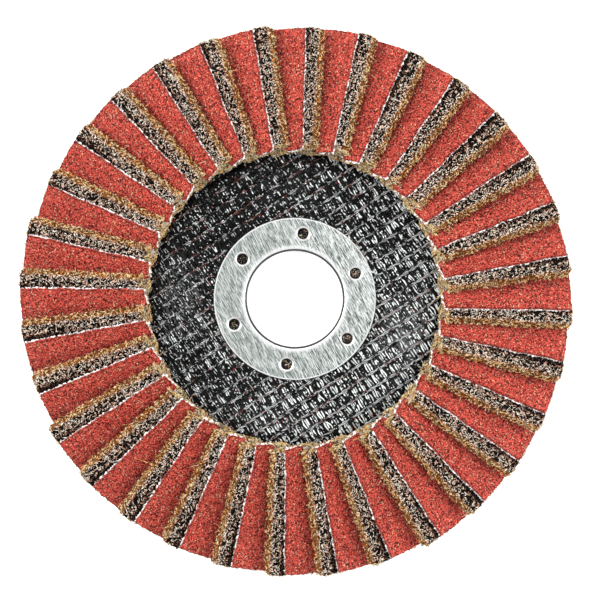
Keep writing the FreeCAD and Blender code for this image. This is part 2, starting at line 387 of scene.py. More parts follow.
def webBodyFinish():
    # the slab under the fibres, near black as painted shade of the web's depths, amber on the cut side
    f = Finish("web_depth_shade", Roughness=0.9, Specular_IOR_Level=0.1)
    pores = f.noise(0.8, 3, 0.6)
    base = f.cover((3, 3, 3), (26, 20, 17), pores, 0.4, 0.7)
    base = f.mix(f.mark("gold") * f.ease(pores, 0.35, 0.6, (0.4, 1.0)), base, (126, 76, 34))
    return f.dress(base, None, f.bump(pores, 0.3, 0.8))


def webFibreFinish():
    # gold picks the grey or the amber scale and shade the place on it; then grime, painted shade as dark gaps, and
    # painted highlights as pale flecks on the amber
    f = Finish("web_fibre", Roughness=0.55, Specular_IOR_Level=0.15)
    gold, shade, grime = f.mark("gold"), f.mark("shade"), f.noise(0.4, 2)
    grey = f.ramp(shade, (0.0, (22, 13, 8)), (0.4, (116, 82, 66)), (0.75, (250, 202, 174)), (1.0, (255, 250, 234)))
    amber = f.ramp(shade, (0.0, (60, 22, 4)), (0.35, (200, 94, 26)), (0.75, (255, 176, 80)), (1.0, (255, 232, 166)))
    base = f.cover(f.mix(gold, grey, amber), (60, 36, 24), grime, 0.5, 0.75, (0.0, 0.2))
    # dark breaks along the fibres, darker still on the amber: painted shade of the gaps between fibres
    gapShade = f.ease(f.noise(0.42, 2, 0.6) + 0.02 * gold, 0.54, 0.59, (0.0, 0.9))
    base = f.mix(gapShade, base, f.mix(gold, (10, 5, 2), (50, 16, 3)))
    base = f.mix(f.ease(f.noise(0.8, 1), 0.53, 0.58) * gold * 0.85, base, (64, 24, 6))
    # pale flecks on the amber: painted highlights
    highlightFlecks = f.ease(f.noise(0.62, 1), 0.53, 0.57) * f.ease(gold, 0.3, 0.6, (0.0, 0.8))
    return f.dress(f.mix(highlightFlecks, base, (255, 240, 194)), 0.45 + 0.3 * grime, f.bump(grime, 0.03, 0.5))


def resinFinish():
    # black resin over glass cloth: a bright, slightly rippled gloss, rusty in a few places
    f = Finish("black_resin", Roughness=0.2, Specular_IOR_Level=0.15)
    ripple = f.noise(0.7, 3, 0.6)
    base = f.mix(ripple, (4, 4, 5), (20, 18, 18))
    base = f.mix(f.ease(f.noise(2.4, 3), 0.62, 0.8) * 0.35, base, (84, 44, 34))
    return f.dress(base, f.ease(ripple, 0.3, 0.7, (0.12, 0.34)), f.bump(ripple, 0.12, 0.7))


def yarnFinish(name, lit, proud):
    # resin-soaked glass yarn, black: a pale line on each thread's top is partly bare glass and partly painted
    # highlight, with painted glints among it, and the plate is painted lighter towards one side; a few threads are
    # reddish. lit: how pale the glass is. proud: how much less resin.
    f = Finish(name, Roughness=0.15, Specular_IOR_Level=0.2)
    kind, crest = f.mark("shade"), f.mark("crest")
    # painted light: the plate is lighter towards one side and darker away from it
    thick = f.ease(f.axis(0, f.turned(weave["litSide"])), -0.034, 0.03, (0.085, -0.005))
    fleck = f.noise(0.25, 2, 0.6)
    # painted glints: small pale flecks
    glint = f.ease(f.noise(0.55, 1), 0.64, 0.68)
    patches = 0.6 * f.noise(1.7, 2, 0.6) + 0.4 * f.noise(0.6, 2, 0.6)
    seen = f.ease(patches - thick, 0.47 - proud, 0.54 - proud, (0.0, lit))
    # the pale glass shows only on a thread's top, where the crest light is: painted highlight
    bare = seen.maths("MAXIMUM", seen, glint) * f.ease(crest, 0.38, 0.68)
    base = f.mix(bare * f.ease(kind, 0.0, 0.7, (0.55, 1.0)), (5, 5, 6), (250, 255, 255))
    base = f.mix(f.ease(kind, 0.8, 0.95) * f.ease(crest, 0.5, 0.8, (0.0, 0.55)), base, (112, 66, 56))
    dust = f.part(f.grains(0.34), 0) > 0.997
    base = f.mix(dust * 0.8, base, (190, 52, 60))
    return f.dress(base, f.ease(fleck, 0.3, 0.7, (0.1, 0.3)), f.bump(fleck, 0.06, 0.7))


def weaveBump(f):
    # crossed threads: the higher of two rows of rounded ridges, turned as the yarns are. A ridge is |sin| of pi times the
    # distance over the pitch.
    turned = f.turned(weave["angle"])

    def ridge(number, pitch):
        angle = f.axis(number, turned) * (math.pi / (pitch * mm))
        wave = angle.maths("SINE", angle)
        return wave.maths("ABSOLUTE", wave)

    across, along = ridge(0, weave["weftPitch"]), 1 - ridge(1, weave["warpPitch"])
    return across.maths("MAXIMUM", across * 0.8, along ** 3)


def laminateFinish():
    # the back of the plate: cloth printed through black resin, threads pitched as on the front
    f = Finish("glass_laminate", Roughness=0.25)
    threads, ripple = weaveBump(f), f.noise(0.8, 3, 0.6)
    base = f.mix(ripple, (14, 12, 12), (40, 35, 33))
    base = f.cover(base, (86, 74, 66), threads, 0.55, 0.9, (0.0, 0.35))
    relief = f.bump(threads, 0.22, 0.8, f.bump(ripple, 0.1, 0.5))
    return f.dress(base, f.ease(ripple, 0.3, 0.7, (0.16, 0.4)), relief)


def steelFinish():
    # zinc-plated steel: short fine scratches mostly one way; painted shade darkens the bore's lip, the -x side and each
    # stake's pit, and painted highlights lie on the rolled lip by the bore, the outer lip and each stake's collar
    f = Finish("brushed_zinc", Metallic=1.0, Roughness=0.45)
    lines = 118  # degrees from +x, the way most scratches run
    strokes = f.noise(0.16, 2, 0.65, f.turned(lines, (0.1, 1, 1)))
    crossed = f.noise(0.17, 2, 0.6, f.turned(96, (0.14, 1, 1)))
    wide = f.noise(1.8, 3, 0.6, f.turned(lines, (0.3, 1, 1)))
    x, y, z = f.axis(0), f.axis(1), f.axis(2)
    radius = f.node("VectorMath", {"operation": "LENGTH"}, {0: f.turned(0, (1, 1, 0))}, "Value")
    at = {name: [value * mm for value in span] for name, span in eyelet.items()}
    base = (184, 192, 188)
    # in turn: broad pale streaks, dark scratches, crossed scratches, white streaks, faint mottle, painted shade towards
    # -x, a painted highlight on the rolled lip by the bore, painted shade on the bore's lip, a painted highlight on the
    # outer lip
    for colour, value, span, to in (
            ((222, 228, 225), wide, (0.35, 0.65), (0.0, 1.0)), ((72, 80, 77), strokes, (0.5, 0.58), (0.0, 1.0)),
            ((104, 112, 109), crossed, (0.55, 0.64), (0.0, 0.6)), ((255, 255, 255), strokes, (0.38, 0.46), (1.0, 0.0)),
            ((150, 157, 153), f.noise(4, 3), (0.5, 0.75), (0.0, 0.15)), ((134, 141, 138), x, (-0.014, 0.017), (0.36, 0.0)),
            ((255, 255, 255), radius, at["lipHighlight"], (0.6, 0.0)), ((24, 22, 20), radius, at["lipShade"], (0.95, 0.0)),
            ((255, 255, 255), radius, at["outerLipHighlight"], (0.0, 0.8))):
        base = f.cover(base, colour, value, *span, to)
    # round each stake a painted highlight on its collar and painted shade in its pit, on the front ring only. From the
    # middle of the nearest stake, at c
    # from the axis and a away in bearing: sqrt(r^2 + c^2 - 2 r c cos a)
    c, half = stakes["circle"] * mm, math.pi / stakes["count"]
    bearing = x.maths("ARCTAN2", y, x) - math.radians(stakes["first"])
    away = bearing.maths("WRAP", bearing, half, -half)
    gap = (radius * radius + c * c - 2 * c * radius * away.maths("COSINE", away)) ** 0.5
    front = f.ease(z, *at["front"])
    base = f.mix(front * f.ease(gap, *at["collar"], (0.8, 0.0)), base, (255, 255, 255))
    base = f.mix(front * f.ease(gap, *at["pitShade"], (1.0, 0.0)), base, (22, 20, 18))
    return f.dress(base, f.ease(strokes, 0.3, 0.7, (0.36, 0.55)), f.bump(strokes, 0.05, 0.8))


def glueFinish():
    # brown and lumpy, paler on the lumps
    f = Finish("cured_adhesive", Roughness=0.45)
    lump = f.noise(1.2, 3, 0.6)
    base = f.cover((52, 30, 18), (110, 72, 40), lump, 0.35, 0.7)
    return f.dress(base, f.ease(lump, 0.3, 0.7, (0.3, 0.6)), f.bump(lump, 0.3, 0.6))


def paperFinish():
    # bare label stock pressed over the cloth: fibres and a faint print-through of the threads
    f = Finish("label_paper", Roughness=0.7)
    fibres, threads = f.noise(0.5, 4, 0.7), weaveBump(f)
    base = f.cover((226, 222, 210), (206, 200, 186), f.noise(14, 3), 0.3, 0.7)
    base = f.cover(base, (168, 158, 142), fibres, 0.5, 0.8, (0.0, 0.3))
    base = f.mix(threads * 0.14, base, (150, 142, 130))
    relief = f.bump(threads, 0.07, 0.5, f.bump(fibres, 0.03, 0.5))
    return f.dress(base, f.ease(fibres, 0.3, 0.7, (0.55, 0.8)), relief)


redGrain, cotton = redGrainFinish(), clothFinish()
webDepthShade, webFibre = webBodyFinish(), webFibreFinish()
resin, laminate = resinFinish(), laminateFinish()
weftYarn, warpYarn = yarnFinish("soaked_weft", 1.0, 0.0), yarnFinish("soaked_warp", 0.5, 0.035)
zinc, glue, paper = steelFinish(), glueFinish(), paperFinish()
print("finishes made")

# CAD nodes that keep their own shape
worn = {"front_ring": zinc, "rear_ring": zinc, "adhesive_bed": glue, "rear_label": paper, "glass_ply_4": resin,
        "glass_ply_1": laminate, "glass_ply_2": laminate, "glass_ply_3": laminate}
for nodeName, finish in worn.items():
    for place in cadNodes[nodeName].material_slots:
        place.material = finish.material

# coated flaps
gritFlap = {
    "step": 0.33,  # grid over the face that shows
    "shownFrom": 5.0,  # where that face starts, from the foot edge
    "clothThickness": 0.27,
    "grainHeight": 0.05,
    "grainDepth": 0.12,  # how far the grain's rim goes down before the cloth
    "unevenness": 0.03,
    "edgeChip": 0.12,
    "trimRadius": 62.55,
    "endWander": 0.42,  # how unevenly the outer ends are cut
    "outShift": (0.25, -0.53),
    "inView": (4.1, 1.2),  # how much of the width is in view, and over what width it goes over to covered
    "cutBack": 1.1,  # how far the covered part of the inner end is set back
    "reachIn": 0.85,  # how far the part in view stands inwards
    "serration": 0.3,  # how far single threads of the cut cloth stand in or out
    "lip": 0.01,  # how far the cloth stands out past the grain
    "innerLip": 0.16,  # further at the inner end
    "threadPitch": 0.3,
    "threadLength": (0.15, 0.5),
    "threadRadius": 0.1,
    "looseThreads": 6,
    "wider": 0.3,
}


def flapEnd(bearing, rng):
    # the radius this flap's end is trimmed to: the pack sits a little off centre, and each cut wanders
    g, b = gritFlap, math.radians(bearing)
    shift = g["outShift"][0] * math.sin(b) + g["outShift"][1] * math.cos(b)
    return g["trimRadius"] + shift + rng.uniform(-1, 1) * g["endWander"]


def gritFlapPiece(number, flap, rng):
    # The top is a grid over x and y at the flap's thickness, plus a random height at each point and soft lumps under
    # them. The rim goes down from it in shells: rim + outward * (chips, frayed threads and lip), each at its own level.
    g = gritFlap
    long, wide, thick = flap.length, flap.width, flap.thick
    xs = np.linspace(0, long, int(long / g["step"]) + 1)
    shownSteps = int((wide - g["shownFrom"]) / g["step"]) + 1
    ys = join([np.linspace(0, g["shownFrom"], 4)[:-1], np.linspace(g["shownFrom"], wide, shownSteps)])
    nx, ny = len(xs), len(ys)
    x, y = np.meshgrid(xs, ys, indexing="ij")
    z = thick + rng.uniform(-1, 1, (nx, ny)) * g["grainHeight"] + lumps((nx, ny), rng, 6) * g["unevenness"]
    sway = drift(xs, rng, 0.1, 5, 3, 18)
    covered = rise(-y, g["inView"][0] - wide, g["inView"][1])
    hidden = covered * (3 - 2 * covered) * covered
    x = x + (g["cutBack"] * hidden - g["reachIn"] * (1 - hidden)) * (1 - x / long)
    ragged = drift(ys, rng, 0.05, 5, 0.6, 4)[None] * ((xs == 0) | (xs == long))[:, None]
    top = np.stack([x + ragged, y + sway[:, None] * (y / wide) ** 2, z], -1)
    # the rim, run round the face: foot edge, outer end, free edge, inner end
    i, j = np.arange(nx), np.arange(ny)
    loop = join([i[:-1] * ny, (nx - 1) * ny + j[:-1], i[:0:-1] * ny + ny - 1, j[:0:-1]])
    around = len(loop)
    rim = top.reshape(-1, 3)[loop]
    outward = np.repeat([(0, -1, 0), (1, 0, 0), (0, 1, 0), (-1, 0, 0)], [nx - 1, ny - 1, nx - 1, ny - 1], 0)
    cloth = g["clothThickness"]
    levels = [thick - g["grainDepth"], cloth + 0.04, cloth - 0.02, 0.15, 0.02]
    pushes = [g["edgeChip"], g["edgeChip"], 0.1, 0.1, 0.05]
    fray = drift(np.arange(around) * g["step"], rng, 0.12, 14, 0.8, 2.2)[:, None]
    fray = fray + rng.uniform(-1, 1, (around, 1)) * g["serration"]
    chip = rng.uniform(-1, 1, (around, 1)) * g["edgeChip"]
    shells = []
    for level, push in zip(levels, pushes):
        lip = (level < cloth) * (g["lip"] + fray + g["innerLip"] * (outward[:, :1] < 0))
        shell = rim + outward * (rng.uniform(-0.8, 1, (around, 1)) * push + lip + (level > cloth) * chip)
        shell[:, 2] = level
        shells.append(shell)
    points = join([top.reshape(-1, 3)] + shells)
    ring = np.arange(around)
    after = (ring + 1) % around
    rings = [loop] + [nx * ny + k * around + ring for k in range(len(levels))]
    walls = [np.stack([high, low, low[after], high[after]], 1) for high, low in zip(rings, rings[1:])]
    # underside: long strips from the foot edge to the free edge, and one many-sided face at each end
    base = rings[-1][0]
    foot = base + i
    free = base + (nx - 1) + (ny - 1) + i[::-1]
    strips = np.stack([foot[1:-2], free[1:-2], free[2:-1], foot[2:-1]], 1)
    outerEnd = join([base + np.arange(nx - 2, nx + ny - 1), [free[-2]]])
    innerEnd = join([[free[1]], base + np.arange(2 * nx + ny - 3, around), [base, foot[1]]])
    slab = [(gridFaces(nx, ny), 0, True), (join(walls[:2]), 0, True), (join(walls[2:]), 1, True),
            (strips, 1, False), (outerEnd[None], 1, False), (innerEnd[None], 1, False)]
    threads, quads, fans = flapThreads(flap, rng)
    groups = [(faces[:, ::-1], finish, smooth) for faces, finish, smooth in slab]
    groups += [(quads + len(points), 1, True), (fans + len(points), 1, True)]
    makePiece(f"coated_flap_{number:02d}", join([flap.place(points), threads]), groups, [redGrain, cotton],
              [f"abrasive_flap_{number:02d}"])


def flapThreads(flap, rng):
    # cut yarn ends in the cloth's edge, in step with the weave: bowed, from just inside it straight out with a random lean
    g = gritFlap
    long, wide = flap.length, flap.width
    starts, ways, lengths = [], [], []
    # the free edge has two rows, the inner and the outer end one each
    for way, atX in (((0, 1, 0), None), ((0, 1, 0), None), ((-1, 0, 0), 0.1), ((1, 0, 0), long - 0.1)):
        isFree = atX is None
        count = int((long if isFree else wide) / g["threadPitch"])
        s = (np.arange(count) + 0.5) * g["threadPitch"] + rng.normal(0, 0.1, count)
        z = rng.uniform(0.08, 0.32, count)
        starts.append(np.stack([s, np.full(count, wide - 0.15), z] if isFree else [np.full(count, atX), s, z], 1))
        ways.append(np.array(way) + rng.normal(0, 0.55, (count, 3)) * (1 - np.abs(way)) + (0, 0, -0.1))
        length = rng.uniform(*g["threadLength"], count) * (1.0 if isFree else 0.6)
        lengths.append(length * rng.choice([0.5, 1, 1.6], count, p=[0.4, 0.5, 0.1]))
    loose = g["looseThreads"]
    starts.append(np.stack([rng.uniform(1, long - 1, loose), np.full(loose, wide - 0.1), rng.uniform(0.3, 0.5, loose)], 1))
    ways.append(np.stack([rng.choice([-1.5, 1.5], loose), np.full(loose, 0.8), rng.uniform(-0.3, 0.1, loose)], 1))
    lengths.append(rng.uniform(0.8, 2.0, loose))
    start, way, length = join(starts), unit(join(ways)), join(lengths)
    path = bowed(start, way, rng.normal(0, 0.35, (len(start), 3)), length, np.linspace(-0.3, 1, hairStations))
    radius = g["threadRadius"] * rng.uniform(0.5, 1.3, (len(start), 1)) * np.array([0, 1, 0.9, 0])
    return strands(flap.place(path), radius, flap.out + flap.up * 0.3)[:3]


# web flaps
webFlap = {
    "bodyStep": 0.5,
    "bodyLevels": 6,
    "lump": 0.22,
    "sunk": 0.25,  # how far the slab lies under the fibres
    "shown": 4.3,  # how much of the broad face has fibres, from the free edge
    "faceFibres": (330, 640),  # deep ones painted darker as shade, then high and pale
    "edgeFibres": (110, 390),
    "innerFibres": (150, 340),
    "outerFibres": (60, 160),
    "strayHairs": 66,
    "deepRadius": (0.05, 0.09),
    "highRadius": (0.06, 0.1),
    "faceLength": (0.4, 1.2),
    "edgeLength": (0.5, 1.4),
    "innerLength": (0.8, 2.4),
    "wider": 0.25,
    "shorter": 0.1,  # than the coated flap
    "endBulge": 0.22,  # how far the part in view stands out past that
    "bulged": (4.8, 1.4),  # how much of the width bulges, and over what width it starts to
}


def bulged(flap, x, y):
    # x moved outwards by endBulge times (x / length)^2, only over the part of the flap that is in view
    shown = rise(y, flap.width - webFlap["bulged"][0], webFlap["bulged"][1])
    return x + webFlap["endBulge"] * shown * np.clip(x / flap.length, 0, 1) ** 2


def webBody(flap, rng):
    # a slab: its section's outline carried along x, each side pushed in and out by soft lumps. Gives its points by station
    # and place in the outline, and 1 where they lie on the cut side.
    w = webFlap
    xs = np.linspace(0, 1, int(flap.length / w["bodyStep"])) * flap.length
    ys, zs = np.linspace(0, 1, int(flap.width / w["bodyStep"])), np.linspace(0, 1, w["bodyLevels"])
    outline = [(y, 1.0) for y in ys] + [(1.0, z) for z in zs[::-1][1:]]
    outline = np.array(outline + [(y, 0.0) for y in ys[::-1][1:]] + [(0.0, z) for z in zs[1:-1]])
    x, y = np.meshgrid(xs, outline[:, 0] * flap.width, indexing="ij")
    out = (outline > 0.999).astype(float) - (outline < 0.001)
    push = lumps(x.shape, rng, 1) * w["lump"] * 0.5 - w["sunk"]
    y = y + out[:, 0] * push + drift(xs, rng, 0.14)[:, None] * outline[:, 0]
    z = outline[:, 1] * flap.thick + out[:, 1] * push
    return np.stack([bulged(flap, x, y), y, z], -1), np.tile(outline[:, 0] > 0.999, len(xs)).astype(float)


def webEnd(start, flip, ny, nz):
    # closes the tube's ring with strips between the top row and the bottom row of the ring, side rows included
    top = start + np.arange(ny)
    side = start + ny - 1 + np.arange(nz)
    bottom = start + ny + nz - 2 + np.arange(ny)
    near = join([start + 2 * ny + nz - 3 + np.arange(nz - 1), [start]])
    strips = np.stack([top[1:-2], top[2:-1], bottom[::-1][2:-1], bottom[::-1][1:-2]], 1)
    farFace = join([[top[-2]], side, [bottom[1]]])
    nearFace = join([[bottom[-2]], near, [top[1]]])
    return strips[:, ::flip], farFace[None, ::flip], nearFace[None, ::flip]


def wander(rng, count, size, length, curl, lift):
    # Paths that roam over a face: a heading turns steadily along each, and its height is an arch that dives in at both
    # ends. Gives each station's places along the face's two directions and its height.
    steps = hairStations - 1
    heading = rng.uniform(0, 2 * math.pi, (count, 1)) + rng.normal(0, curl, (count, 1)) * np.linspace(-1, 1, steps)
    step = rng.uniform(*length, (count, 1)) / steps

    def across(low, high, turn):
        middle = rng.uniform(low, high, (count, 1))
        run = join([np.zeros((count, 1)), np.cumsum(turn(heading) * step, 1)], 1)
        return middle + run - step * steps / 2 * turn(heading[:, :1])

    p, q = across(size[0], size[1], np.cos), across(size[2], size[3], np.sin)
    arch = np.sin(math.pi * hairSteps) * rng.uniform(0.3, 1, (count, 1))
    arch = arch + rng.normal(0, 0.2, (count, 1)) * np.linspace(-1, 1, hairStations)
    return p, q, lift[0] + (lift[1] - lift[0]) * arch


def webFibres(flap, rng):
    # wandering fibres over the slab's face, cut edge and ends, a deep layer painted darker as shade and a high pale
    # one, and bowed stray hairs
    w = webFlap
    long, wide, thick = flap.length, flap.width, flap.thick
    paths, gold, shade, radius = [], [], [], []

    def add(path, goldness, tone, size, girth=1.0):
        # one batch of fibres; radius: even between the two sizes, times girth
        paths.append(path)
        gold.append(goldness)
        shade.append(tone)
        radius.append(rng.uniform(*size, len(path)) * girth)

    for high in (0, 1):
        size = w["highRadius"] if high else w["deepRadius"]
        lift = (-0.1, 0.3) if high else (-0.4, 0.0)
        # each layer's tones are random, and the deep layer's are darker here, on the cut edge and on the ends: painted
        # shade of the web's depth
        tone = (lambda n: rng.beta(2.6, 0.55, n)) if high else (lambda n: rng.beta(0.8, 4.5, n))
        # over the broad face; next to the coated flap's edge its fibres get darker tones, painted shade of the flap's
        # overhang
        n = w["faceFibres"][high]
        p, q, h = wander(rng, n, (0, long, wide - w["shown"], wide), w["faceLength"], 0.45, lift)
        overhangShade = rise(q.mean(1), wide - 3.6, 1.3, 0.05)
        near = rise(q.mean(1), wide - 0.15, 0.15)
        add(np.stack([p, q, thick - 0.1 + h], -1), near * rng.uniform(0, 1, n), tone(n) * overhangShade, size)
        # over the cut free edge
        n = w["edgeFibres"][high]
        p, q, h = wander(rng, n, (0, long, 0, thick), w["edgeLength"], 1.0, lift)
        goldness = rise(-q.mean(1), 0.2 - thick, 0.3) * rng.choice([1.0, 0.85, 0.5], n, p=[0.8, 0.15, 0.05])
        add(np.stack([p, wide - 0.1 + h, q], -1), goldness, rng.beta(0.6 + high, 0.9, n), size, 1.25)
        # over the two ends; the inner one's are longer, thicker and paler
        n = w["innerFibres"][high]
        p, q, h = wander(rng, n, (0, wide, -0.4, thick - 0.3), w["innerLength"], 1.3, lift)
        shown = rng.beta(2.0 + 2.0 * high, 0.7, n)
        goldness = rise(-q.mean(1), -0.1 - thick, 0.4, 0.75) * rng.choice([1.0, 0.6, 0.2], n, p=[0.7, 0.2, 0.1])
        add(np.stack([0.1 - h * 1.15, p, q], -1), goldness, shown, size, 1.2)
        n = w["outerFibres"][high]
        p, q, h = wander(rng, n, (0, wide, 0, thick), w["edgeLength"], 1.0, lift)
        shown = tone(n)
        add(np.stack([long + h * 1.6 - 0.1, p, q], -1), rng.choice([1.0, 0.6, 0.2], n, p=[0.7, 0.2, 0.1]), shown, size)
    # stray hairs that stand off the free edge and the ends
    n = w["strayHairs"]
    reach = rng.gamma(1.7, 0.46, (n, 1)) + 0.3
    start = np.stack([rng.uniform(0, long, n), np.full(n, wide - 0.1), rng.uniform(0.2, thick, n)], 1)
    way = np.stack([rng.normal(0, 0.9, n), np.full(n, 0.7), rng.normal(0.1, 0.35, n)], 1)
    atEnd = rng.uniform(0, 1, n)
    inner, outer = atEnd < 0.25, atEnd > 0.85
    start[inner, 0], way[inner, 0] = 0.1, -0.7
    start[outer, 0], way[outer, 0] = long - 0.1, 0.7
    start[inner | outer, 1] = rng.uniform(wide * 0.4, wide, (inner | outer).sum())
    path = bowed(start, unit(way), rng.normal(0, 0.45, (n, 3)), reach)
    add(path, np.full(n, 1.0), rng.beta(2.5, 1.2, n), w["highRadius"], 0.65)
    path = join(paths)
    path[..., 0] = bulged(flap, path[..., 0], path[..., 1])
    girth = join(radius)[:, None] * np.array([0, 1, 1, 0])
    points, quads, fans, each = strands(flap.place(path), girth, flap.up * 0.8 + flap.over * 0.5 + flap.out * 0.3)
    return points, quads, fans, np.repeat(join(gold), each), np.repeat(join(shade), each)


def webPiece(first, flaps, rng):
    # two neighbours in one piece; each has its own half of the bake map, the slab below and a cell a fibre above
    points, groups, gold, shade, maps, start = [], [], [], [], [], 0
    ny, nz = int(flaps[0].width / webFlap["bodyStep"]), webFlap["bodyLevels"]
    for k, flap in enumerate(flaps):
        tube, cutSide = webBody(flap, rng)
        nx, count = tube.shape[:2]
        groups.append((gridFaces(nx, count, start, True), 0, True))
        for end, flip in ((start, 1), (start + (nx - 1) * count, -1)):
            groups += [(faces, 0, False) for faces in webEnd(end, flip, ny, nz)]
        start += len(cutSide)
        hairs, quads, fans, hairGold, hairShade = webFibres(flap, rng)
        groups += [(quads + start, 1, True), (fans + start, 1, True)]
        start += len(hairs)
        points += [flap.place(tube.reshape(-1, 3)), hairs]
        gold += [cutSide, hairGold]
        shade += [0 * cutSide, hairShade]
        u = np.repeat(np.arange(nx), count) / (nx - 1)
        v = np.tile(np.arange(count), nx) / (count - 1)
        fibres = len(hairs) // ((hairStations - 2) * hairSides + 2)
        maps += [np.stack([0.01 + 0.48 * u + 0.5 * k, 0.01 + 0.23 * v], 1),
                 hairMap(fibres, (0.01 + 0.5 * k, 0.26), (0.49 + 0.5 * k, 0.99))]
    pair = f"{first:02d}_{first + 1:02d}"
    marks = {"gold": join(gold), "shade": join(shade)}
    makePiece(f"web_flaps_{pair}", join(points), groups, [webDepthShade, webFibre],
              [f"nonwoven_flaps_{pair}"], marks, join(maps))


flapCount = 32
rng = np.random.default_rng(32)
flapEnds = [flapEnd(k * 360 / flapCount, rng) for k in range(flapCount)]
for number in range(1, flapCount + 1):
    corners = flapCorners(f"abrasive_flap_{number:02d}")[0]
    gritFlapPiece(number, Flap(corners, flapEnds[number - 1], rng.uniform(-1, 1, 2) * gritFlap["wider"]), rng)
print("coated flaps made")
for first in range(1, flapCount, 2):
    pair = flapCorners(f"nonwoven_flaps_{first:02d}_{first + 1:02d}")
    ends = [end - webFlap["shorter"] for end in flapEnds[first - 1: first + 1]]
    flaps = [Flap(c, end, rng.uniform(-1, 1, 2) * webFlap["wider"]) for c, end in zip(pair, ends)]
    webPiece(first, flaps, rng)
print("web flaps made")

# glass cloth on the plate
dish = {
    "faceHeight": 3.0, "flatTo": 20.446,
    "hubBend": 3.6, "shoulderBend": 4.9,
    "shoulderAt": 31.439, "shoulderCentre": 2.987,
    "riser": 29.07, "flange": 10.0,
}


def dishHeight(r):
    # the plate's front face: flat hub, an arc up, a straight riser, an arc over the shoulder, then the falling flange
    d = dish
    rise, fall = math.radians(d["riser"]), math.radians(d["flange"])
    hubEnd = d["flatTo"] + d["hubBend"] * math.sin(rise)
    riserEnd = d["shoulderAt"] - d["shoulderBend"] * math.sin(rise)
    top = d["shoulderAt"] + d["shoulderBend"] * math.sin(fall)
    arcs = [np.sqrt(np.maximum(bend ** 2 - past ** 2, 0)) for bend, past in (
        (d["hubBend"], np.maximum(r - d["flatTo"], 0)), (d["shoulderBend"], r - d["shoulderAt"]))]
    hub = d["faceHeight"] + d["hubBend"] - arcs[0]
    riser = d["faceHeight"] + d["hubBend"] * (1 - math.cos(rise)) + (r - hubEnd) * math.tan(rise)
    shoulder = d["shoulderCentre"] + arcs[1]
    flange = d["shoulderCentre"] + d["shoulderBend"] * math.cos(fall) - (r - top) * math.tan(fall)
    return np.select([r <= hubEnd, r <= riserEnd, r <= top], [hub, riser, shoulder], flange)


yarnSides = 6
yarnRound = (np.arange(yarnSides) * 2 + 1) * math.pi / yarnSides


def yarns(centre, radius, flatten, inside):
    # tubes along rows of stations: an oval ring at each one, its length across the row and its height along z.
    # Only runs of stations that lie inside the ring of cloth are kept, each closed at both ends.
    rows, stations = centre.shape[:2]
    along = unit(np.gradient(centre, axis=1))
    across = unit(np.cross(along, np.array([0.0, 0.0, 1.0])))
    up = np.cross(across, along)
    ring = across[:, :, None] * np.cos(yarnRound)[:, None] - up[:, :, None] * (np.sin(yarnRound) * flatten)[:, None]
    points = centre[:, :, None] + radius[:, :, None, None] * ring
    number = (np.arange(rows)[:, None] * stations + np.arange(stations)) * yarnSides
    joined = inside[:, 1:] & inside[:, :-1]
    a, b = number[:, :-1][joined][:, None], number[:, 1:][joined][:, None]
    k = np.arange(yarnSides)
    n = (k + 1) % yarnSides
    walls = np.stack([a + k, b + k, b + n, a + n], -1).reshape(-1, 4)
    blank = np.zeros((rows, 1), bool)
    before, after = join([blank, joined], 1), join([joined, blank], 1)
    starts, ends = number[after & ~before], number[before & ~after]
    caps = join([starts[:, None] + k, (ends[:, None] + k)[:, ::-1]])
    used = np.zeros(rows * stations * yarnSides, bool)
    used[walls.ravel()] = True
    new = np.cumsum(used) - 1
    return points.reshape(-1, 3)[used], new[walls], new[caps], used


def onCloth(along, across):
    # from the cloth's own directions to x and y
    turn = math.radians(weave["angle"])
    return along * math.cos(turn) - across * math.sin(turn), along * math.sin(turn) + across * math.cos(turn)


def yarnPiece(name, finish, along, across, height, radius, flatten, tone, crest):
    # Rows of stations laid on the plate at a height over it, sunk at both rims. tone and the crest light: one value for
    # each station; a tube's point takes its station's crest light times its share of the way up, -sin t, a painted
    # highlight on the tube's top.
    w = weave
    x, y = onCloth(along, across)
    r = np.hypot(x, y)
    inside = (r > w["inner"]) & (r < w["outer"])
    sink = rise(r, w["inner"], 0.8) * rise(-r, -w["outer"], 0.6)
    centre = np.stack([x, y, dishHeight(r) + height * sink - 0.1 * (1 - sink)], -1)
    points, walls, caps, used = yarns(centre, radius, flatten, inside)
    upward = np.clip(-np.sin(yarnRound), 0, 1)
    tone, crest = np.broadcast_to(tone, r.shape), np.broadcast_to(crest, r.shape)
    marks = {"shade": np.repeat(tone.ravel(), yarnSides)[used], "crest": (crest[..., None] * upward).ravel()[used]}
    makePiece(name, points, [(walls, 0, True), (caps, 0, False)], [finish], (), marks)


def rowsOf(pitch):
    # rows either side of the middle, out to just past the ring of cloth
    reach = math.floor((weave["outer"] + 1) / pitch)
    return np.arange(-reach, reach + 1) * pitch


def weftPiece(rng):
    # bundles of threads side by side: drawn together and down where a ridge locks them, by 0.5 + 0.5 cos of the way along
    w = weave
    half = w["outer"] + 1
    bundles = rowsOf(w["weftPitch"])
    bundles = bundles + rng.normal(0, 0.07, len(bundles))
    across = np.arange(-half, half, 0.3)
    lock = 0.5 + 0.5 * np.cos(2 * math.pi * across / w["warpPitch"])  # 1 under a ridge, 0 midway
    threads = []  # place, height, radius and tone of each
    for at in bundles:
        for thread in range(w["threads"]):
            offset = (thread - (w["threads"] - 1) / 2) * w["threadGap"]
            place = at + offset * (1.06 - 0.26 * lock) + drift(across, rng, 0.12, 6, 2, 9)
            height = 0.30 - 0.22 * lock + rng.normal(0, 0.04) + drift(across, rng, 0.03, 4, 1, 4) - 0.05 * abs(offset)
            radius = w["threadRadius"] * (rng.uniform(0.85, 1.1) + drift(across, rng, 0.06, 4, 1, 5)) * (1 - 0.12 * lock)
            threads.append((place, height, radius, rng.uniform(0, 1)))
    places, heights, radii, tones = map(np.array, zip(*threads))
    # the crest light drops where a ridge locks a bundle: painted shade where the threads dive under the ridge
    yarnPiece("glass_weft", weftYarn, places, across[None], heights, radii, 0.8, tones[:, None] * 0.75,
              1 - 0.75 * lock[None] ** 3)


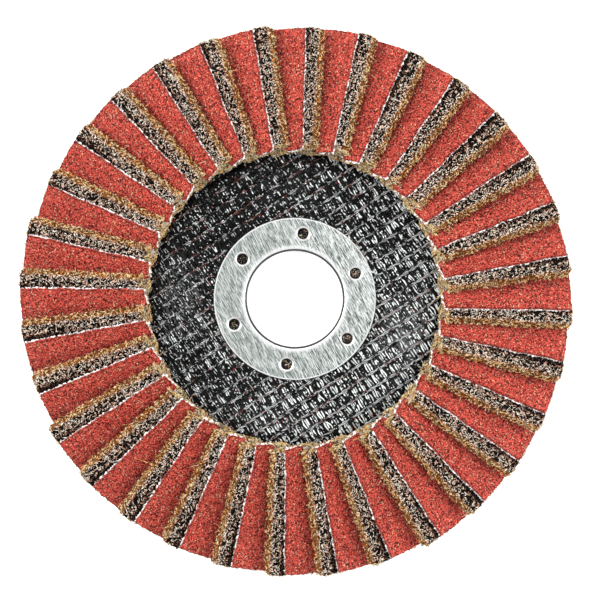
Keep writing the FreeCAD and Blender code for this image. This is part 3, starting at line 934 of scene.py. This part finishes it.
def warpPiece(rng):
    # each ridge is two strands that twist about each other: they sway by cos and rise by sin of the same turn
    w = weave
    half = w["outer"] + 1
    along = np.arange(-half, half, 0.24)
    threads = []
    for at in rowsOf(w["warpPitch"]):
        bow = drift(along, rng, 0.08, 4, 8, 30)
        start = rng.uniform(0, 0.4)
        for strand in (0, math.pi):
            turn = math.pi * along / w["weftPitch"] + strand + start
            height = 0.36 + 0.13 * np.sin(turn) + drift(along, rng, 0.02, 4, 1, 4)
            radius = w["warpRadius"] * (1 + drift(along, rng, 0.08, 4, 1, 6))
            threads.append((at + bow + w["warpSway"] * np.cos(turn), height, radius, rng.uniform(0, 1)))
    places, heights, radii, tones = map(np.array, zip(*threads))
    patches = tones[:, None] * 0.6 + 0.4 * lumps(places.shape, rng, 12)
    yarnPiece("glass_warp", warpYarn, along[None], places, heights, radii, 0.95, np.clip(patches + 0.35, 0, 1), 0.9)


def hairPiece(name, path, radius, side, finish, marks):
    # loose hairs in one piece, pointed at both ends; marks: one value for each hair
    points, quads, fans, each = strands(path, radius * np.array([0, 1, 1, 0]), np.array(side))
    marks = {key: np.repeat(values, each) for key, values in marks.items()}
    makePiece(name, points, [(quads, 0, True), (fans, 0, True)], [finish], (), marks,
              hairMap(len(path), (0.0, 0.0), (1.0, 1.0)))


def shredPiece(rng):
    # shreds of yarn and steel in the stakes' holes, bowed and held inside the hole
    k = stakes
    total = k["count"] * k["shreds"]
    angle = np.radians(k["first"] + np.repeat(np.arange(k["count"]), k["shreds"]) * 360 / k["count"])
    centre = np.stack([k["circle"] * np.cos(angle), k["circle"] * np.sin(angle), 0 * angle], 1)
    around = rng.uniform(0, 2 * math.pi, total)
    out = k["radius"] * np.sqrt(rng.uniform(0, 1, total))
    start = centre + np.stack([out * np.cos(around), out * np.sin(around), k["floor"] + rng.uniform(0, 0.5, total)], 1)
    way = unit(rng.normal(0, 1, (total, 3)) * (1, 1, 0.5) + (0, 0, 0.3))
    path = bowed(start, way, rng.normal(0, 0.3, (total, 3)), rng.uniform(0.3, 0.8, total))
    away = (path - centre[:, None])[..., :2]
    spread = np.hypot(away[..., 0], away[..., 1])
    path[..., :2] = centre[:, None, :2] + away * np.minimum(1, k["radius"] / spread)[..., None]
    path[..., 2] = np.clip(path[..., 2], k["floor"], k["top"])
    hairPiece("stake_shreds", path, rng.uniform(0.06, 0.13, (total, 1)), (0.3, 0.2, 1.0), webFibre, {
        "gold": rng.choice([0.0, 0.5], total, p=[0.9, 0.1]),
        "shade": rng.choice([0.02, 0.7, 1.0], total, p=[0.45, 0.25, 0.3])})


# broken filaments over the cloth, bright white so that they also stand in for glints: partly loose glass, partly
# painted highlight
loose = {
    "count": 1000,
    "weftShare": 0.7,
    "scatter": 8.0,  # degrees off their thread
    "glintSide": (200.0, 38.0),  # bearing from +x where the painted glints gather, and its spread
    "everywhere": 0.25,  # the share that is spread evenly
    "from": 19.4, "to": 33.0,
    "length": (0.5, 1.6),
    "radius": (0.05, 0.08),
    "over": 0.5,  # the plate's face
    "dive": 1.2,  # how much lower the tips are: this times s^2, s from -0.5 to 0.5
}


def filamentFinish():
    # bright glass that also stands in for glints, a painted highlight; dark where resin still clings to it
    f = Finish("glass_filament_glint", Roughness=0.3)
    base = f.mix(f.mark("shade"), (46, 40, 40), (252, 255, 255))
    return f.dress(f.cover(base, (24, 18, 16), f.noise(0.5, 2, 0.6), 0.57, 0.64, (0.0, 0.8)))


def filamentPiece(rng):
    # short hairs along one of the cloth's two directions, over the yarns: middle + length * (way * s + side * bow * s^2)
    k, w = loose, weave
    n = k["count"]
    bearing = np.where(rng.uniform(0, 1, n) < k["everywhere"], rng.uniform(0, 360, n), rng.normal(*k["glintSide"], n))
    radius = np.sqrt(rng.uniform(k["from"] ** 2, k["to"] ** 2, n))
    # each is moved onto the nearest thread of its own direction
    turned = np.radians(bearing - w["angle"])
    along, across = radius * np.cos(turned), radius * np.sin(turned)
    weft = rng.uniform(0, 1, n) < k["weftShare"]
    onWeft = np.round(along / w["weftPitch"]) * w["weftPitch"] + rng.choice([-1, 0, 1], n) * w["threadGap"]
    onWarp = np.round(across / w["warpPitch"]) * w["warpPitch"] + rng.choice([-1, 1], n) * w["warpSway"]
    middle = np.stack(onCloth(np.where(weft, onWeft, along), np.where(weft, across, onWarp)), 1)
    heading = np.radians(w["angle"] + np.where(weft, 90, 0) + rng.normal(0, k["scatter"], n))
    way = np.stack([np.cos(heading), np.sin(heading)], 1)
    side = np.stack([-way[:, 1], way[:, 0]], 1)
    s = np.linspace(-0.5, 0.5, hairStations)
    length = rng.uniform(*k["length"], (n, 1, 1))
    bow = (rng.normal(0, 0.4, (n, 1)) * s ** 2)[..., None]
    flat = middle[:, None] + length * (way[:, None] * s[:, None] + side[:, None] * bow)
    lift = k["over"] + rng.uniform(-0.1, 0.15, (n, 1)) - k["dive"] * s ** 2
    height = dishHeight(np.hypot(flat[..., 0], flat[..., 1])) + lift
    hairPiece("glass_filaments_glint", join([flat, height[..., None]], -1), rng.uniform(*k["radius"], (n, 1)),
              (0.2, 0.1, 1.0), filamentFinish(), {"shade": rng.beta(2.0, 0.6, n)})


weftPiece(rng)
warpPiece(rng)
shredPiece(rng)
filamentPiece(rng)
print("glass cloth made")

# studio
studio = {
    "floorSize": 2.0,  # half a side, in metres as all of these
    "floorTone": 0.93,
    "floorMottle": 0.02,
    "floorGlow": 0.5,
    "skyLight": 0.5,
    "cameraHeight": 0.6,
    "cameraAside": (0.0012, -0.00027),
    "halfView": 0.06843,  # half the frame's width at the flaps' height
    "viewLevel": 0.0108,
    "film": 36.0,
    "lamps": {  # place, size, power
        "key": ((-0.6, 0.2, 0.6), (0.14, 0.8), 7.0),
        "fill": ((0.66, -0.02, 0.5), (0.14, 0.7), 4.5),
        "north": ((0.15, 0.7, 0.85), (0.6, 0.4), 4.0),
        "south": ((0.0, -0.75, 0.7), (0.5, 0.3), 1.5),
    },
}


def floorFinish():
    # near white with faint clouds, and a glow of its own
    f = Finish("studio_floor", Roughness=0.8, Emission_Color=(1, 1, 1, 1), Emission_Strength=studio["floorGlow"])
    tones = [(tone, tone, tone, 1) for tone in (studio["floorTone"], studio["floorTone"] - studio["floorMottle"])]
    return f.dress(f.mix(f.noise(60, 2), *tones))


reach = studio["floorSize"]
floorMesh = bpy.data.meshes.new("floor")
floorMesh.from_pydata([(-reach, -reach, 0), (reach, -reach, 0), (reach, reach, 0), (-reach, reach, 0)], [], [(0, 1, 2, 3)])
floorMesh.materials.append(floorFinish().material)
floor = intoScene("floor", floorMesh)

world = bpy.data.worlds.new("studio")
bpy.context.scene.world = world
world.use_nodes = True
sky = world.node_tree.nodes["Background"].inputs
sky[0].default_value, sky[1].default_value = (1, 1, 1, 1), studio["skyLight"]

for name, (place, size, power) in studio["lamps"].items():
    lamp = bpy.data.lights.new(name, "AREA")
    lamp.shape, lamp.size, lamp.size_y, lamp.energy = "RECTANGLE", size[0], size[1], power
    made = intoScene(name, lamp)
    made.location = place
    made.rotation_euler = (-Vector(place)).to_track_quat("-Z", "Y").to_euler()

lens = bpy.data.cameras.new("camera")
lens.sensor_width = studio["film"]
lens.lens = studio["film"] / 2 * (studio["cameraHeight"] - studio["viewLevel"]) / studio["halfView"]
camera = intoScene("camera", lens)
camera.location = (*studio["cameraAside"], studio["cameraHeight"])
bpy.context.scene.camera = camera
bpy.context.scene.view_settings.view_transform = "Standard"
print("studio set")

print("faces:", sum(len(mesh.polygons) for mesh in bpy.data.meshes))
